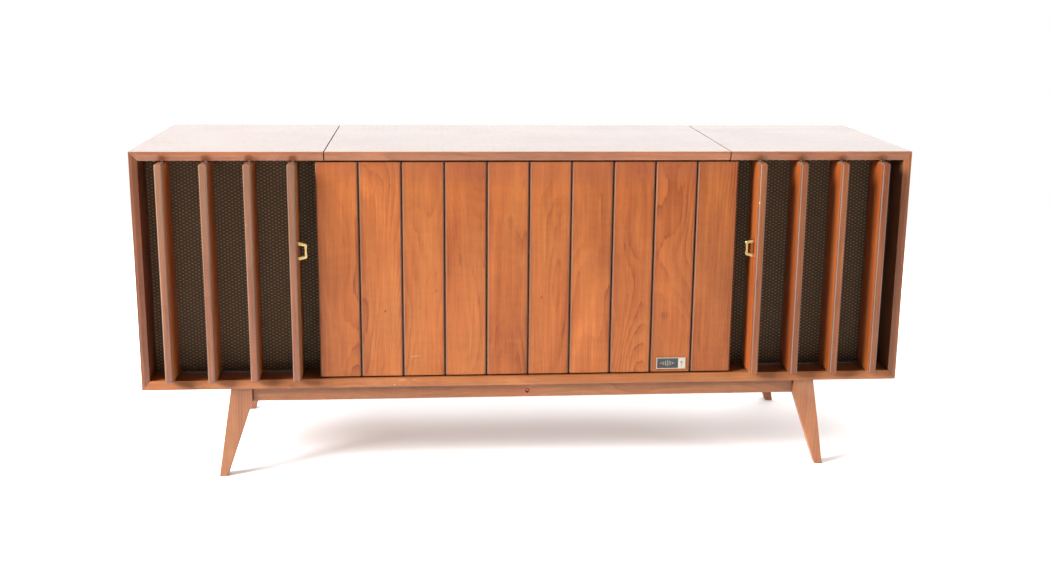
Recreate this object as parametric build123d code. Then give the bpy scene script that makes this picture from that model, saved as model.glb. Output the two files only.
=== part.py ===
from build123d import *
import math
import os

os.makedirs("parts", exist_ok=True)

# Radio phonograph console. Millimetres, +X to the right, +Y to the back, +Z up.
# The origin is on the floor under the middle of the whole object's box.

# ---------------------------------------------------------------- driving dimensions
case_width = 1524.0
case_depth = 422.0
case_height = 474.0
leg_height = 186.0

side_thickness = 15.5
board_thickness = 17.5
lip_width = 6.0
bevel_depth = 3.0

lid_width = 790.6
lid_seam = 2.0
lid_rest_gap = 0.3

louver_count = 4
louver_thickness = 15.0
louver_depth = 77.5
louver_pitch = 82.0
louver_proud = 25.2
louver_end_gap = 3.0
louver_chamfer = 2.5
louver_end_chamfer = 2.4

slat_count = 10
slat_gap = 2.2
slat_chamfer = 2.6
slat_panel_width = 828.5
slat_end_gap = 3.6
backing_thickness = 6.0

cloth_setback = 65.0
cloth_thickness = 1.2
baffle_thickness = 12.0
partition_thickness = 17.5
back_panel_thickness = 4.0
rear_rail_depth = 18.0
rear_rail_height = 39.9

knuckle_radius = 2.5
hinge_axis_behind_case = 2.8
hinge_leaf_thickness = 1.2
hinge_leaf_half_gap = 0.1
hinge_pin_radius = 1.2
hinge_half_length = 380.0
hinge_knuckles = 9
running_clearance = 0.05

stay_radius = 150.0
stay_band = 10.0
stay_thickness = 2.0
stay_end_angle = 264.0

deck_top = 548.0
deck_thickness = 12.0

leg_thickness = 20.0
leg_setback = 5.0
apron_setback = 13.0
apron_thickness = 18.0
apron_height = 30.0

# ---------------------------------------------------------------- derived planes
half_width = case_width / 2
inner_half_width = half_width - side_thickness
case_bottom = leg_height
floor_z = case_bottom + board_thickness
case_top = case_bottom + case_height
ceiling_z = case_top - board_thickness

hinge_proud = hinge_axis_behind_case + knuckle_radius
front_y = louver_proud - (louver_proud + case_depth + hinge_proud) / 2
back_y = front_y + case_depth
hinge_y = back_y + hinge_axis_behind_case
hinge_z = ceiling_z - hinge_leaf_thickness - hinge_leaf_half_gap

louver_pivot_y = front_y - louver_proud + louver_depth / 2
closed_front_y = louver_pivot_y - louver_thickness / 2
slat_back_y = closed_front_y + louver_thickness
backing_back_y = slat_back_y + backing_thickness
cloth_y = front_y + cloth_setback
baffle_y = cloth_y + cloth_thickness
baffle_back_y = baffle_y + baffle_thickness
back_panel_y = back_y - back_panel_thickness
rail_front_y = back_panel_y - rear_rail_depth

partition_centre = (lid_width + lid_seam) / 2
partition_inner = partition_centre - partition_thickness / 2
partition_outer = partition_centre + partition_thickness / 2
bay_centre = (inner_half_width + slat_panel_width / 2) / 2
louver_centres = [
    bay_centre + (index - (louver_count - 1) / 2) * louver_pitch for index in range(louver_count)
]
louver_bottom = floor_z + louver_end_gap
louver_top = ceiling_z - louver_end_gap


# ---------------------------------------------------------------- helpers
def block(x0, x1, y0, y1, z0, z1):
    """Rectangular solid between two corners."""
    return Pos((x0 + x1) / 2, (y0 + y1) / 2, (z0 + z1) / 2) * Box(x1 - x0, y1 - y0, z1 - z0)


def prism_x(points, x0, x1):
    """Outline in Y and Z, extruded from x0 to x1."""
    outline = Polyline([(x0, y, z) for y, z in points], close=True)
    return extrude(make_face(outline), amount=x1 - x0, dir=(1, 0, 0))


def prism_y(points, y0, y1):
    """Outline in X and Z, extruded from y0 to y1."""
    outline = Polyline([(x, y0, z) for x, z in points], close=True)
    return extrude(make_face(outline), amount=y1 - y0, dir=(0, 1, 0))


def prism_z(points, z0, z1):
    """Outline in X and Y, extruded from z0 to z1."""
    outline = Polyline([(x, y, z0) for x, y in points], close=True)
    return extrude(make_face(outline), amount=z1 - z0, dir=(0, 0, 1))


def rod_x(y, z, radius, x0, x1):
    return Pos((x0 + x1) / 2, y, z) * Rot(0, 90, 0) * Cylinder(radius, x1 - x0)


def rod_y(x, z, radius, y0, y1):
    return Pos(x, (y0 + y1) / 2, z) * Rot(90, 0, 0) * Cylinder(radius, y1 - y0)


def rod_z(x, y, radius, z0, z1):
    return Pos(x, y, (z0 + z1) / 2) * Cylinder(radius, z1 - z0)


def turned_y(profile, x, y, z):
    """Solid of revolution about a line along Y. The profile lists radius and depth behind y."""
    outline = Polyline([(radius, depth, 0) for radius, depth in profile], close=True)
    return Pos(x, y, z) * revolve(make_face(outline), Axis.Y)


def turned_z(profile, x, y):
    """Solid of revolution about a vertical line. The profile lists radius and height."""
    outline = Polyline([(radius, 0, height) for radius, height in profile], close=True)
    return Pos(x, y, 0) * revolve(make_face(outline), Axis.Z)


def mirrored(shape):
    """The same piece on the other side of the centre plane."""
    return mirror(shape, about=Plane.YZ)


def group(shapes):
    """Several separate solids that share one node."""
    return Compound(children=list(shapes))


# ---------------------------------------------------------------- cabinet boards
def side_bevel():
    """Wedge that falls back from the front lip to a side board's inner face, left side."""
    lip_x = -half_width + lip_width
    inner_x = -inner_half_width
    wedge = [(lip_x, front_y), (inner_x, front_y), (inner_x, front_y + bevel_depth)]
    return prism_z(wedge, case_bottom, case_top)


def level_bevel(lip_z, inner_z):
    """Wedge along the front of a level board, from its lip to its inner face."""
    wedge = [(front_y, lip_z), (front_y, inner_z), (front_y + bevel_depth, inner_z)]
    return prism_x(wedge, -half_width, half_width)


def left_side_board():
    outline = [
        (-half_width, case_bottom),
        (-inner_half_width, floor_z),
        (-inner_half_width, ceiling_z),
        (-half_width, case_top),
    ]
    return prism_y(outline, front_y, back_y) - side_bevel()


def bottom_board():
    outline = [
        (-half_width, case_bottom),
        (half_width, case_bottom),
        (inner_half_width, floor_z),
        (-inner_half_width, floor_z),
    ]
    board = prism_y(outline, front_y, back_y)
    board -= level_bevel(case_bottom + lip_width, floor_z)
    for x in louver_positions():
        board -= rod_z(x, louver_pivot_y, pivot_pin_radius, floor_z - pivot_pin_seat, floor_z)
    return board


def left_top_panel():
    seam_x = -(lid_width / 2 + lid_seam)
    outline = [
        (-half_width, case_top),
        (-inner_half_width, ceiling_z),
        (seam_x, ceiling_z),
        (seam_x, case_top),
    ]
    panel = prism_y(outline, front_y, back_y)
    panel -= level_bevel(case_top - lip_width, ceiling_z)
    for x in louver_positions():
        if x < 0:
            panel -= rod_z(x, louver_pivot_y, pivot_pin_radius, ceiling_z, ceiling_z + pivot_pin_seat)
    return panel


def lid_board():
    board = block(-lid_width / 2, lid_width / 2, front_y, back_y, ceiling_z, case_top)
    return board - level_bevel(case_top - lip_width, ceiling_z)


def right_partition():
    """Upright board under a lid seam. Its inner half is relieved a little for the lid."""
    outline = [
        (partition_inner, floor_z),
        (partition_outer, floor_z),
        (partition_outer, ceiling_z),
        (partition_centre, ceiling_z),
        (partition_centre, ceiling_z - lid_rest_gap),
        (partition_inner, ceiling_z - lid_rest_gap),
    ]
    return prism_y(outline, backing_back_y, back_panel_y)


def rear_rail():
    rail_top = hinge_z - hinge_leaf_half_gap - hinge_leaf_thickness
    return block(
        -partition_inner, partition_inner, rail_front_y, back_panel_y, rail_top - rear_rail_height, rail_top
    )


# ---------------------------------------------------------------- front slats, backing and badge
def front_slat_row():
    pitch = (slat_panel_width + slat_gap) / slat_count
    width = pitch - slat_gap
    slats = []
    for index in range(slat_count):
        left = -slat_panel_width / 2 + index * pitch
        right = left + width
        outline = [
            (left, slat_back_y),
            (left, closed_front_y + slat_chamfer),
            (left + slat_chamfer, closed_front_y),
            (right - slat_chamfer, closed_front_y),
            (right, closed_front_y + slat_chamfer),
            (right, slat_back_y),
        ]
        slats.append(prism_z(outline, floor_z + slat_end_gap, ceiling_z - slat_end_gap))
    return group(slats)


def backing_panel():
    return block(
        -partition_outer, partition_outer, slat_back_y, backing_back_y, floor_z, ceiling_z - 2 * lid_rest_gap
    )


badge_width = 59.4
badge_height = 23.4
badge_thickness = 2.6
badge_centre_x = 291.8
badge_bottom = 213.8


def front_badge():
    plate = block(
        badge_centre_x - badge_width / 2,
        badge_centre_x + badge_width / 2,
        closed_front_y - badge_thickness,
        closed_front_y,
        badge_bottom,
        badge_bottom + badge_height,
    )
    return chamfer(plate.faces().sort_by(Axis.Y)[0].edges(), 0.6)


# ---------------------------------------------------------------- louvers, pins, tie strips and pulls
pivot_pin_radius = 3.0
pivot_pin_seat = 10.0
pivot_pin_reach = 12.0
crank_radius = 32.0
crank_pin_radius = 2.0
crank_pin_reach = 8.0
strip_thickness = 1.5
strip_clearance = 0.7
strip_bar_offset = 12.0
strip_bar_width = 10.0
strip_tab_radius = 4.5


def louver_positions():
    """Centres of all louvers, from left to right."""
    return [-x for x in reversed(louver_centres)] + list(louver_centres)


def louver(x):
    """One open louver, edge on to the front, with bores for its pins."""
    half = louver_thickness / 2
    front = louver_pivot_y - louver_depth / 2
    back = louver_pivot_y + louver_depth / 2
    cut = louver_chamfer
    outline = [
        (x - half, front + cut),
        (x - half + cut, front),
        (x + half - cut, front),
        (x + half, front + cut),
        (x + half, back - cut),
        (x + half - cut, back),
        (x - half + cut, back),
        (x - half, back - cut),
    ]
    board = prism_z(outline, louver_bottom, louver_top)
    ends = board.faces().sort_by(Axis.Z)
    board = chamfer(ends[0].edges() + ends[-1].edges(), louver_end_chamfer)
    pivot_bore = pivot_pin_radius + running_clearance
    crank_bore = crank_pin_radius + running_clearance
    board -= rod_z(x, louver_pivot_y, pivot_bore, louver_bottom, louver_bottom + pivot_pin_reach + 2)
    board -= rod_z(x, louver_pivot_y, pivot_bore, louver_top - pivot_pin_reach - 2, louver_top)
    crank_y = louver_pivot_y + crank_radius
    board -= rod_z(x, crank_y, crank_bore, louver_bottom, louver_bottom + crank_pin_reach + 1)
    return board


def pivot_pins():
    pins = []
    for x in louver_positions():
        pins.append(
            rod_z(x, louver_pivot_y, pivot_pin_radius, floor_z - pivot_pin_seat, louver_bottom + pivot_pin_reach)
        )
        pins.append(
            rod_z(x, louver_pivot_y, pivot_pin_radius, louver_top - pivot_pin_reach, ceiling_z + pivot_pin_seat)
        )
    return group(pins)


def right_tie_strip():
    """Flat strip under four louvers, with a tab and an upright pin for each."""
    hole_y = louver_pivot_y + crank_radius
    bar_y = hole_y + strip_bar_offset
    low = floor_z + strip_clearance
    high = low + strip_thickness
    ends = strip_bar_width / 2
    strip = block(
        louver_centres[0] - ends, louver_centres[-1] + ends, bar_y - ends, bar_y + ends, low, high
    )
    for x in louver_centres:
        strip += block(x - strip_tab_radius, x + strip_tab_radius, hole_y, bar_y, low, high)
        strip += rod_z(x, hole_y, strip_tab_radius, low, high)
        strip += rod_z(x, hole_y, crank_pin_radius, low, louver_bottom + crank_pin_reach)
    return strip


pull_z = 467.2
pull_y = front_y - 5.0
pull_depth = 7.0
pull_reach = 18.4


def left_pull():
    """Loop pull on the innermost left louver: two tapering arms and a waisted bar."""
    face_x = -louver_centres[0] + louver_thickness / 2
    tip_x = face_x + pull_reach
    outer = [
        (face_x, pull_z - 19.0),
        (tip_x - 2.0, pull_z - 14.5),
        (tip_x, pull_z - 12.0),
        (tip_x - 1.4, pull_z),
        (tip_x, pull_z + 12.0),
        (tip_x - 2.0, pull_z + 14.5),
        (face_x, pull_z + 19.0),
    ]
    inner = [
        (face_x, pull_z - 11.5),
        (tip_x - 5.5, pull_z - 9.5),
        (tip_x - 5.5, pull_z + 9.5),
        (face_x, pull_z + 11.5),
    ]
    loop = prism_y(outer, pull_y - pull_depth / 2, pull_y + pull_depth / 2)
    loop -= prism_y(inner, pull_y - pull_depth, pull_y + pull_depth)
    return loop


# ---------------------------------------------------------------- speaker bays
woofer_x = 576.0
woofer_z = 370.0
woofer_hole_radius = 137.5
horn_z = 575.0
horn_mouth_width = 160.0
horn_mouth_height = 64.0
horn_flange = 10.0


def right_cloth():
    return block(partition_outer, inner_half_width, cloth_y, baffle_y, floor_z, ceiling_z)


def right_baffle():
    board = block(partition_outer, inner_half_width, baffle_y, baffle_back_y, floor_z, ceiling_z)
    board -= rod_y(woofer_x, woofer_z, woofer_hole_radius, baffle_y, baffle_back_y)
    board -= block(
        woofer_x - horn_mouth_width / 2,
        woofer_x + horn_mouth_width / 2,
        baffle_y,
        baffle_back_y,
        horn_z - horn_mouth_height / 2,
        horn_z + horn_mouth_height / 2,
    )
    return board


def right_woofer_basket():
    """Flange, conical frame and magnet, behind the baffle."""
    profile = [
        (132.0, 0.0),
        (152.5, 0.0),
        (152.5, 3.0),
        (141.0, 3.0),
        (62.0, 78.0),
        (58.0, 80.0),
        (58.0, 118.0),
        (0.0, 118.0),
        (0.0, 75.0),
        (59.5, 75.0),
        (132.0, 3.0),
    ]
    return turned_y(profile, woofer_x, baffle_back_y, woofer_z)


def right_woofer_cone():
    """Paper cone with its edge ring and dust cap, in the baffle's hole."""
    profile = [
        (137.4, 0.0),
        (137.4, -1.5),
        (128.0, -3.0),
        (120.0, -1.5),
        (32.0, 50.0),
        (24.0, 44.0),
        (12.0, 40.5),
        (0.0, 39.5),
        (0.0, 41.0),
        (12.0, 42.0),
        (23.0, 45.5),
        (28.0, 56.0),
        (33.0, 52.0),
        (121.0, 0.0),
    ]
    return turned_y(profile, woofer_x, baffle_back_y, woofer_z)


def horn_section(width, height, depth):
    """Upright rectangle centred on the horn's axis, behind the baffle."""
    plane = Plane(origin=(woofer_x, baffle_back_y + depth, horn_z), x_dir=(1, 0, 0), z_dir=(0, 1, 0))
    return plane * Rectangle(width, height)


def right_horn():
    """Flared rectangular horn with its driver."""
    wall = 2.0
    length = 70.0
    throat = 24.0
    mouth_w = horn_mouth_width
    mouth_h = horn_mouth_height
    horn = loft([horn_section(mouth_w, mouth_h, 0), horn_section(throat, throat, length)])
    horn += block(
        woofer_x - mouth_w / 2 - horn_flange,
        woofer_x + mouth_w / 2 + horn_flange,
        baffle_back_y,
        baffle_back_y + 3.0,
        horn_z - mouth_h / 2 - horn_flange,
        horn_z + mouth_h / 2 + horn_flange,
    )
    horn += rod_y(woofer_x, horn_z, 26.0, baffle_back_y + length, baffle_back_y + length + 30.0)
    hollow = loft([
        horn_section(mouth_w - 2 * wall, mouth_h - 2 * wall, 0),
        horn_section(throat - 2 * wall, throat - 2 * wall, length),
    ])
    return horn - hollow


# ---------------------------------------------------------------- leg frame
leg_top_outer = 591.0
leg_top_inner = 549.7
leg_foot_outer = 620.7
leg_foot_inner = 604.1
end_apron_outer = 588.0
pilot_z = 168.5
pilot_hole_radius = 4.2
pilot_jewel_radius = 4.0


def front_right_leg():
    """Flat board, wide face to the front, with an upright inner edge beside the apron."""
    apron_bottom = case_bottom - apron_height
    outline = [
        (leg_top_inner, case_bottom),
        (leg_top_inner, apron_bottom + 2.0),
        (leg_foot_inner, 0.0),
        (leg_foot_outer, 0.0),
        (leg_top_outer, case_bottom),
    ]
    leg = prism_y(outline, front_y + leg_setback, front_y + leg_setback + leg_thickness)
    upright = leg.edges().filter_by(Axis.Y, reverse=True)
    return chamfer(upright.filter_by(lambda edge: edge.length > 100), 1.0)


def front_to_back(shape):
    """The same piece at the back of the leg frame."""
    return mirror(shape, about=Plane.XZ.offset(-(front_y + back_y) / 2))


def front_apron():
    apron = block(
        -leg_top_inner,
        leg_top_inner,
        front_y + apron_setback,
        front_y + apron_setback + apron_thickness,
        case_bottom - apron_height,
        case_bottom,
    )
    return apron - rod_y(0, pilot_z, pilot_hole_radius, front_y, front_y + 60)


def hidden_aprons():
    """Rear apron and the two end aprons."""
    low = case_bottom - apron_height
    rear = block(
        -leg_top_inner,
        leg_top_inner,
        back_y - apron_setback - apron_thickness,
        back_y - apron_setback,
        low,
        case_bottom,
    )
    end = block(
        end_apron_outer - apron_thickness,
        end_apron_outer,
        front_y + leg_setback + leg_thickness,
        back_y - leg_setback - leg_thickness,
        low,
        case_bottom,
    )
    return group([rear, end, mirrored(end)])


def pilot_jewel():
    """Domed lens, set back in its hole."""
    face = front_y + apron_setback + 3.0
    jewel = rod_y(0, pilot_z, pilot_jewel_radius, face, face + 12.0)
    return fillet(jewel.faces().sort_by(Axis.Y)[0].edges(), 2.5)


# ---------------------------------------------------------------- lid hinge and stay
def knuckle_spans(first):
    """X ranges of every second knuckle, starting with the first or the second."""
    pitch = 2 * hinge_half_length / hinge_knuckles
    spans = []
    for index in range(first, hinge_knuckles, 2):
        left = -hinge_half_length + index * pitch
        spans.append((left + 0.2, left + pitch - 0.2))
    return spans


def hinge_leaf(z0, z1, own_spans, other_spans):
    leaf = block(-hinge_half_length, hinge_half_length, back_y - 18.0, hinge_y, z0, z1)
    for left, right in other_spans:
        leaf -= block(left - 0.4, right + 0.4, hinge_y - knuckle_radius - 0.3, hinge_y + 1, z0 - 1, z1 + 1)
    for left, right in own_spans:
        leaf += rod_x(hinge_y, hinge_z, knuckle_radius, left, right)
    return leaf


def case_hinge_leaf():
    """Leaf on the rear rail, with the hinge pin fixed in its knuckles."""
    high = hinge_z - hinge_leaf_half_gap
    leaf = hinge_leaf(high - hinge_leaf_thickness, high, knuckle_spans(0), knuckle_spans(1))
    return leaf + rod_x(hinge_y, hinge_z, hinge_pin_radius, -hinge_half_length, hinge_half_length)


def lid_hinge_leaf():
    low = hinge_z + hinge_leaf_half_gap
    leaf = hinge_leaf(low, low + hinge_leaf_thickness, knuckle_spans(1), knuckle_spans(0))
    bore = hinge_pin_radius + running_clearance
    return leaf - rod_x(hinge_y, hinge_z, bore, -hinge_half_length, hinge_half_length)


def lid_quadrant_stay():
    """Curved band centred on the hinge line, hung from a flange under the lid."""
    left = -partition_inner + 3.0
    right = left + stay_thickness
    ring = rod_x(hinge_y, hinge_z, stay_radius + stay_band / 2, left, right)
    ring -= rod_x(hinge_y, hinge_z, stay_radius - stay_band / 2, left, right)
    reach = 2 * stay_radius
    end = math.radians(stay_end_angle)
    sector = [
        (hinge_y, hinge_z),
        (hinge_y - reach, hinge_z),
        (hinge_y - reach, hinge_z - reach),
        (hinge_y + reach * math.cos(end), hinge_z + reach * math.sin(end)),
    ]
    band = ring & prism_x(sector, left, right)
    flange = block(
        left, left + 18.0, hinge_y - stay_radius - 16.0, hinge_y - stay_radius + 16.0, hinge_z - 0.7, ceiling_z
    )
    return band + flange


# ---------------------------------------------------------------- record changer
base_x0 = -365.0
base_x1 = -25.0
base_y0 = -135.0
base_y1 = 155.0
base_bottom = 550.0
base_top = 562.0
base_wall = 1.5
lower_shaft_z = 553.0

platter_x = -222.0
platter_y = 20.0
platter_radius = 127.0
platter_bottom = 565.0
platter_top = 577.0
spindle_radius = 3.5
spindle_top = 624.0

arm_x = -52.0
arm_pivot_y = 110.0
arm_pivot_z = 599.0
arm_rest_y = -60.0
turret_shaft_radius = 6.0

overarm_x = -335.0
overarm_y = 130.0
overarm_post_radius = 4.0

changer_knob_x = -340.0
changer_knob_y = -112.0
control_shaft_radius = 3.0


def changer_base():
    """Pressed pan with its shaft holes and the arm rest."""
    pan = block(base_x0, base_x1, base_y0, base_y1, base_bottom, base_top)
    pan = fillet(pan.edges().filter_by(Axis.Z), 16.0)
    pan = fillet(pan.faces().sort_by(Axis.Z)[-1].edges(), 2.5)
    inside = block(
        base_x0 + base_wall,
        base_x1 - base_wall,
        base_y0 + base_wall,
        base_y1 - base_wall,
        base_bottom,
        base_top - base_wall,
    )
    pan -= fillet(inside.edges().filter_by(Axis.Z), 14.5)
    pan -= rod_z(platter_x, platter_y, spindle_radius, base_bottom, base_top)
    pan -= rod_z(arm_x, arm_pivot_y, turret_shaft_radius + running_clearance, base_bottom, base_top)
    pan -= rod_z(overarm_x, overarm_y, overarm_post_radius + running_clearance, base_bottom, base_top)
    pan -= rod_z(
        changer_knob_x, changer_knob_y, control_shaft_radius + running_clearance, base_bottom, base_top
    )
    rest_top = arm_pivot_z - 5.4
    pan += rod_z(arm_x, arm_rest_y, 3.0, base_top - base_wall, rest_top - 4.0)
    pan += block(arm_x - 10, arm_x + 10, arm_rest_y - 4, arm_rest_y + 4, rest_top - 4.0, rest_top)
    return pan


def platter():
    """Shallow turned dish with a hub, open underneath."""
    profile = [
        (spindle_radius + 0.08, platter_bottom),
        (12.0, platter_bottom),
        (12.0, platter_top - 3.5),
        (121.0, platter_top - 3.5),
        (121.0, platter_bottom + 1),
        (platter_radius, platter_bottom + 1),
        (platter_radius, platter_top - 1.5),
        (platter_radius - 1.5, platter_top),
        (spindle_radius + 0.08, platter_top),
    ]
    return turned_z(profile, platter_x, platter_y)


def spindle():
    post = rod_z(platter_x, platter_y, 9.0, base_top, platter_bottom - 0.2)
    pin = rod_z(platter_x, platter_y, spindle_radius, lower_shaft_z, spindle_top)
    pin = fillet(pin.faces().sort_by(Axis.Z)[-1].edges(), 2.0)
    return post + pin


def tonearm_turret():
    """Turning post with two ears that carry the arm's lift pin."""
    turret = rod_z(arm_x, arm_pivot_y, 17.0, base_top + 0.3, 572.0)
    turret += rod_z(arm_x, arm_pivot_y, 12.5, 572.0, 588.0)
    turret += rod_z(arm_x, arm_pivot_y, turret_shaft_radius, lower_shaft_z, base_top + 0.3)
    for side in (-1, 1):
        inner = arm_x + side * 9.0
        outer = arm_x + side * 12.0
        ear = block(min(inner, outer), max(inner, outer), arm_pivot_y - 7, arm_pivot_y + 7, 586.0, 605.0)
        turret += ear
    turret += rod_x(arm_pivot_y, arm_pivot_z, 1.5, arm_x - 12, arm_x + 12)
    return turret


def tonearm():
    """Tapered arm with headshell, stylus and counterweight."""
    low = arm_pivot_z - 5
    high = arm_pivot_z + 5
    outline = [
        (arm_x - 4.5, -98.0),
        (arm_x + 4.5, -98.0),
        (arm_x + 6.5, 95.0),
        (arm_x + 6.5, 134.0),
        (arm_x - 6.5, 134.0),
        (arm_x - 6.5, 95.0),
    ]
    arm = prism_z(outline, low, high)
    arm += rod_y(arm_x, arm_pivot_z, 11.0, 130.0, 156.0)
    shell = [
        (arm_x - 7.0, -128.0),
        (arm_x + 7.0, -128.0),
        (arm_x + 9.0, -92.0),
        (arm_x - 9.0, -92.0),
    ]
    arm += prism_z(shell, low - 4, high - 1)
    arm += rod_z(arm_x, -105.0, 1.5, 582.0, low - 4)
    arm -= rod_x(arm_pivot_y, arm_pivot_z, 1.5 + running_clearance, arm_x - 8, arm_x + 8)
    return arm


def record_overarm():
    """Post with a level bar whose pad steadies the stacked records."""
    post = rod_z(overarm_x, overarm_y, overarm_post_radius, lower_shaft_z, 633.0)
    reach_x = platter_x - overarm_x
    reach_y = platter_y - overarm_y
    length = math.hypot(reach_x, reach_y)
    bar = Box(length + 6, 8, 6, align=(Align.MIN, Align.CENTER, Align.MIN))
    pad = Pos(length, 0, -2.3) * Cylinder(9, 2.3, align=(Align.CENTER, Align.CENTER, Align.MIN))
    turn = math.degrees(math.atan2(reach_y, reach_x))
    return post + Pos(overarm_x, overarm_y, 627.0) * Rot(0, 0, turn) * (bar + pad)


def round_knob(x, y, radius, z0, z1, shaft_bottom):
    """Knob with a chamfered rim, on a shaft that runs down through the panel."""
    knob = rod_z(x, y, radius, z0, z1)
    knob = chamfer(knob.faces().sort_by(Axis.Z)[-1].edges(), 1.5)
    return knob + rod_z(x, y, control_shaft_radius, shaft_bottom, z0)


# ---------------------------------------------------------------- deck and controls
panel_x0 = 8.0
panel_x1 = 378.0
panel_y0 = -168.0
panel_y1 = 192.0
panel_top = 558.0
dial_x0 = 38.0
dial_x1 = 348.0
dial_y0 = 96.0
dial_y1 = 150.0
dial_floor = 552.0
dial_slot_y = 123.5
dial_slot_width = 3.0
pointer_x = (dial_x0 + dial_x1) / 2
knob_gap = 0.3
shaft_bottom = 530.0

volume_place = (60.0, -70.0)
tone_place = (124.0, -70.0)
tuning_place = (326.0, -70.0)
button_places = {"phono_button": 157.0, "am_button": 193.0, "fm_button": 229.0}
button_y = 20.0
button_width = 24.0
button_length = 14.0
button_clearance = 0.3


def deck_board():
    """Level board that carries the changer and the controls."""
    low = deck_top - deck_thickness
    deck = block(-partition_inner, partition_inner, backing_back_y, rail_front_y, low, deck_top)
    deck -= block(-partition_inner, -partition_inner + 8.0, hinge_y - 138, hinge_y - 88, low, deck_top)
    deck -= block(-170.0, -60.0, -110.0, 20.0, low, deck_top)
    deck -= block(-330.0, -230.0, -60.0, 80.0, low, deck_top)
    for x, y in (volume_place, tone_place, tuning_place):
        deck -= rod_z(x, y, control_shaft_radius + 0.6, low, deck_top)
    for x in button_places.values():
        deck -= button_hole(x, low, deck_top)
    return deck


def button_hole(x, z0, z1):
    half_w = button_width / 2 + button_clearance
    half_l = button_length / 2 + button_clearance
    return block(x - half_w, x + half_w, button_y - half_l, button_y + half_l, z0, z1)


def control_panel():
    """Thick plate with a sunk dial and holes for the shafts and buttons."""
    panel = block(panel_x0, panel_x1, panel_y0, panel_y1, deck_top, panel_top)
    panel = chamfer(panel.faces().sort_by(Axis.Z)[-1].edges(), 1.5)
    panel -= block(dial_x0, dial_x1, dial_y0, dial_y1, dial_floor, panel_top)
    slot_y0 = dial_slot_y - dial_slot_width / 2
    slot_y1 = dial_slot_y + dial_slot_width / 2
    panel -= block(dial_x0 + 5, dial_x1 - 5, slot_y0, slot_y1, deck_top, dial_floor)
    for x, y in (volume_place, tone_place, tuning_place):
        panel -= rod_z(x, y, control_shaft_radius + running_clearance, deck_top, panel_top)
    for x in button_places.values():
        panel -= button_hole(x, deck_top, panel_top)
    return panel


def dial_pointer():
    blade = block(pointer_x - 0.6, pointer_x + 0.6, dial_y0 + 5, dial_y1 - 5, dial_floor + 1, dial_floor + 2.5)
    stem = block(
        pointer_x - 2, pointer_x + 2, dial_slot_y - 1.2, dial_slot_y + 1.2, deck_top + 0.4, dial_floor + 2.5
    )
    return blade + stem


def push_button(x):
    half_w = button_width / 2
    half_l = button_length / 2
    button = block(x - half_w, x + half_w, button_y - half_l, button_y + half_l, 541.0, 564.0)
    return fillet(button.faces().sort_by(Axis.Z)[-1].edges(), 1.2)


def receiver_chassis():
    """Open steel tray hung under the deck, behind the control shafts."""
    high = deck_top - deck_thickness
    tray = block(20.0, 366.0, -130.0, 170.0, 470.0, high)
    return tray - block(21.5, 364.5, -128.5, 168.5, 471.5, high)


# ---------------------------------------------------------------- back of the case
terminal_half_width = 60.0
terminal_z0 = 250.0
terminal_z1 = 310.0


def screw_places():
    """Centres of the back panel's screws in X and Z."""
    columns = (-735.0, -566.0, -396.0, -198.0, 0.0, 198.0, 396.0, 566.0, 735.0)
    rows = (212.0, 628.0)
    return [(x, z) for x in columns for z in rows]


def back_panel():
    panel = block(
        -inner_half_width, inner_half_width, back_panel_y, back_y, floor_z, hinge_z - 1.5
    )
    panel -= block(
        -terminal_half_width, terminal_half_width, back_panel_y, back_y, terminal_z0, terminal_z1
    )
    for x, z in screw_places():
        panel -= rod_y(x, z, 1.5, back_panel_y, back_y)
    for row in range(5):
        z = 420.0 + row * 30.0
        for column in range(-3, 4):
            x = column * 90.0
            panel -= block(x - 30, x + 30, back_panel_y, back_y, z, z + 6)
    return panel


def back_panel_screws():
    screws = []
    for x, z in screw_places():
        head = rod_y(x, z, 3.6, back_y, back_y + 1.6)
        screws.append(head + rod_y(x, z, 1.5, back_panel_y, back_y))
    return group(screws)


def terminal_panel():
    """Insulating plate inside the back panel, with screw terminals, jacks and a mains inlet."""
    plate = block(
        -terminal_half_width - 8,
        terminal_half_width + 8,
        back_panel_y - 2,
        back_panel_y,
        terminal_z0 - 8,
        terminal_z1 + 8,
    )
    for index in range(4):
        plate += rod_y(-48.0 + index * 14, 292.0, 3.0, back_panel_y, back_y + 1)
    for index in range(4):
        jack = rod_y(-48.0 + index * 14, 268.0, 5.0, back_panel_y, back_y + 1)
        plate += jack - rod_y(-48.0 + index * 14, 268.0, 2.5, back_panel_y, back_y + 1)
    inlet = block(20.0, 48.0, back_panel_y, back_y + 1, 268.0, 292.0)
    inlet -= block(23.0, 45.0, back_panel_y, back_y + 1, 271.0, 289.0)
    return plate + inlet


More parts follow.
